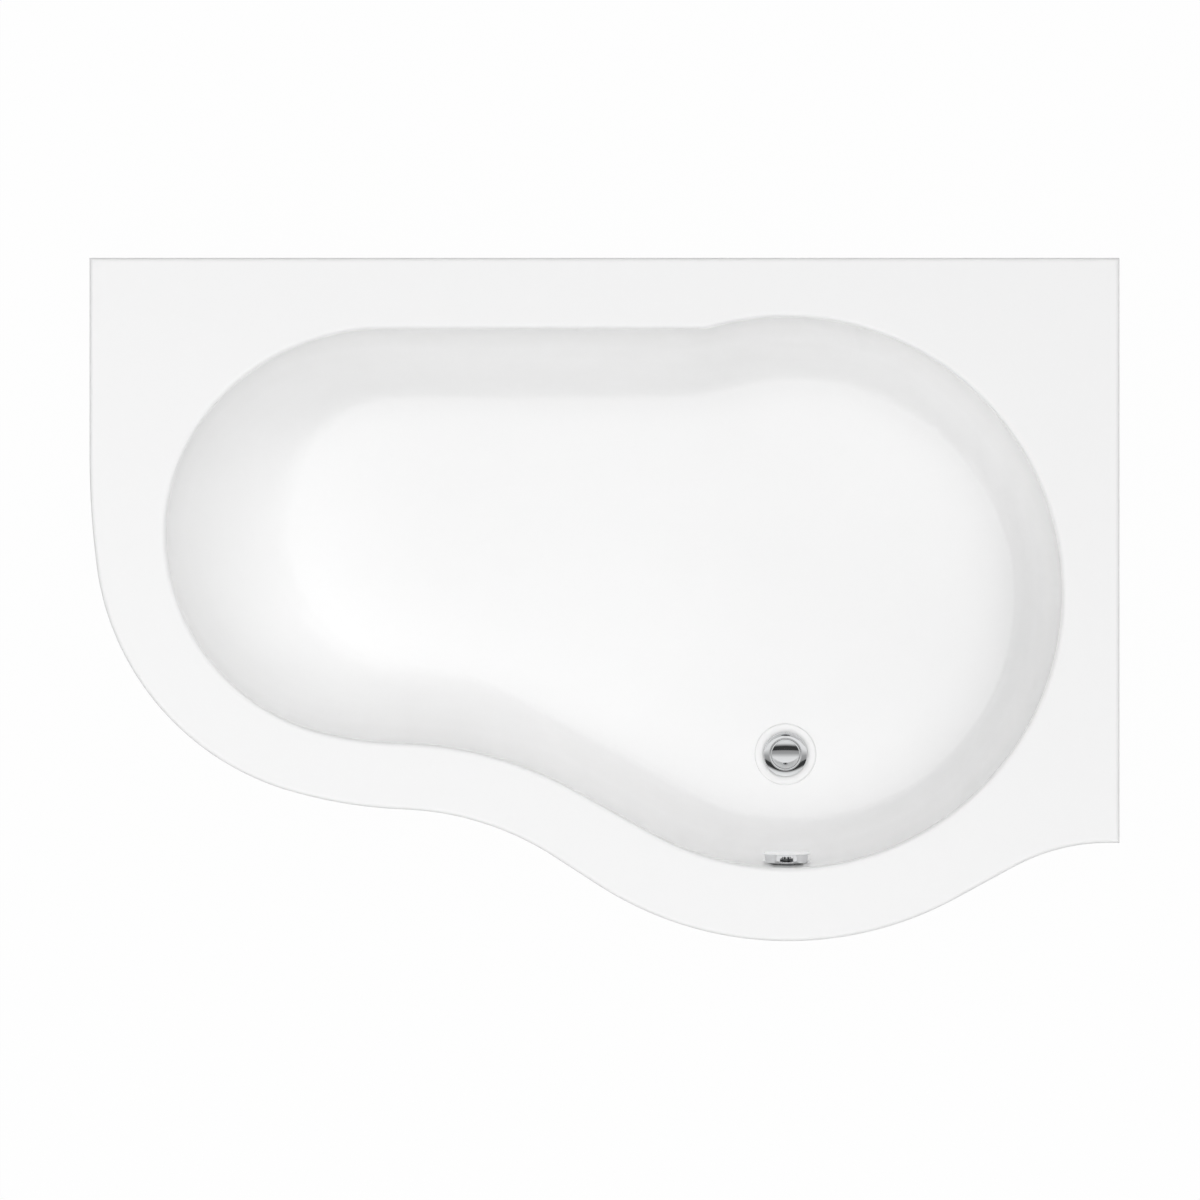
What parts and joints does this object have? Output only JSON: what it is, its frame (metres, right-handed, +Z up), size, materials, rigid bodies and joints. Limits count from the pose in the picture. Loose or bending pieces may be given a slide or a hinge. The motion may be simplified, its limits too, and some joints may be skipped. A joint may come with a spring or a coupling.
{
  "type": "corner bathtub",
  "caption": "Offset corner bathtub with a kidney-shaped bowl, curved front panel, rail-and-foot frame, twist overflow that lifts the waste plug, and a trap.",
  "frame": {"origin": "centre of the rim's bounding rectangle in plan, on the floor under the feet", "axes": "+X along the back wall towards the wide end with the waste, +Y towards the back wall, +Z up"},
  "size_m": [1.5, 0.9949, 0.56],
  "materials": {
    "bath_acrylic": "smooth white sanitary acrylic, high gloss",
    "panel_acrylic": "white acrylic sheet, gloss",
    "glassfibre": "hand-laid glassfibre and resin, matt with chopped strands",
    "chipboard": "raw chipboard coated with resin",
    "timber": "planed softwood",
    "galvanised_steel": "galvanised sheet, satin",
    "zinc_steel": "bright zinc plate",
    "chrome_trim": "polished chrome plate",
    "brass_parts": "turned brass",
    "steel_wire": "drawn stainless wire",
    "rubber_seal": "black rubber",
    "white_plastic": "white moulded plastic, satin",
    "grey_plastic": "grey moulded plastic",
    "black_plastic": "black moulded plastic"
  },
  "bodies": {
    "bath": {"base_board": "chipboard", "bath_shell": "bath_acrylic", "bracket_screws": "zinc_steel", "cable_clips": "black_plastic", "front_panel": "panel_acrylic", "glassfibre_backing": "glassfibre", "hose_nuts": "white_plastic", "leg_rail_left": "galvanised_steel", "leg_rail_middle": "galvanised_steel", "leg_rail_right": "galvanised_steel", "outlet_nut": "white_plastic", "outlet_washer": "rubber_seal", "overflow_body": "white_plastic", "overflow_bush": "grey_plastic", "overflow_gasket": "rubber_seal", "overflow_hose": "grey_plastic", "panel_floor_blocks": "timber", "panel_screw_caps": "white_plastic", "panel_screws": "zinc_steel", "panel_top_blocks": "timber", "pop_up_cable": "black_plastic", "rail_nuts": "zinc_steel", "rail_screws": "zinc_steel", "rim_batten_back": "timber", "rim_batten_left": "timber", "rim_batten_right": "timber", "trap_body": "white_plastic", "trap_cap": "white_plastic", "trap_nut": "white_plastic", "trap_washer": "rubber_seal", "wall_bracket_back_left": "galvanised_steel", "wall_bracket_back_right": "galvanised_steel", "wall_bracket_side_back": "galvanised_steel", "wall_bracket_side_front": "galvanised_steel", "waste_body": "white_plastic", "waste_flange": "chrome_trim", "waste_seal_lower": "rubber_seal", "waste_seal_upper": "rubber_seal"},
    "knob": {"overflow_knob": "chrome_trim", "knob_spindle": "brass_parts"},
    "plug": {"plug_cap": "chrome_trim", "plug_seal": "rubber_seal", "plug_stem": "brass_parts"},
    "lever": {"lift_lever": "grey_plastic"},
    "wire": {"cable_wire_end": "steel_wire"},
    "foot_left_front": {"leg_rod_left_front": "zinc_steel", "foot_pad_left_front": "black_plastic"},
    "foot_left_back": {"leg_rod_left_back": "zinc_steel", "foot_pad_left_back": "black_plastic"},
    "foot_middle_front": {"leg_rod_middle_front": "zinc_steel", "foot_pad_middle_front": "black_plastic"},
    "foot_middle_back": {"leg_rod_middle_back": "zinc_steel", "foot_pad_middle_back": "black_plastic"},
    "foot_right_front": {"leg_rod_right_front": "zinc_steel", "foot_pad_right_front": "black_plastic"},
    "foot_right_back": {"leg_rod_right_back": "zinc_steel", "foot_pad_right_back": "black_plastic"}
  },
  "joints": [
    {"name": "knob_turn", "type": "hinge", "parent": "bath", "child": "knob", "pos_m": [0.26549, -0.38487, 0.472], "axis": [0, 0.9966, 0.0828], "range_deg": [0, 90]},
    {"name": "plug_lift", "type": "slide", "parent": "bath", "child": "plug", "axis": [0, 0, 1], "range_m": [0, 0.00801]},
    {"name": "lever_turn", "type": "hinge", "parent": "bath", "child": "lever", "pos_m": [0.26549, -0.20989, 0.11705], "axis": [-1, 0, 0], "range_deg": [0, 24.2]},
    {"name": "wire_pull", "type": "slide", "parent": "bath", "child": "wire", "axis": [0, -1, 0], "range_m": [0, 0.0054]},
    {"name": "level_left_front", "type": "slide", "parent": "bath", "child": "foot_left_front", "axis": [0, 0, -1], "range_m": [0, 0.04]},
    {"name": "level_left_back", "type": "slide", "parent": "bath", "child": "foot_left_back", "axis": [0, 0, -1], "range_m": [0, 0.04]},
    {"name": "level_middle_front", "type": "slide", "parent": "bath", "child": "foot_middle_front", "axis": [0, 0, -1], "range_m": [0, 0.04]},
    {"name": "level_middle_back", "type": "slide", "parent": "bath", "child": "foot_middle_back", "axis": [0, 0, -1], "range_m": [0, 0.04]},
    {"name": "level_right_front", "type": "slide", "parent": "bath", "child": "foot_right_front", "axis": [0, 0, -1], "range_m": [0, 0.04]},
    {"name": "level_right_back", "type": "slide", "parent": "bath", "child": "foot_right_back", "axis": [0, 0, -1], "range_m": [0, 0.04]}
  ],
  "couplings": [
    {"joint": "plug_lift", "follows": "knob_turn", "m_per_rad": 0.005093},
    {"joint": "lever_turn", "follows": "knob_turn", "ratio": 0.26807},
    {"joint": "wire_pull", "follows": "knob_turn", "m_per_rad": 0.0034214}
  ]
}
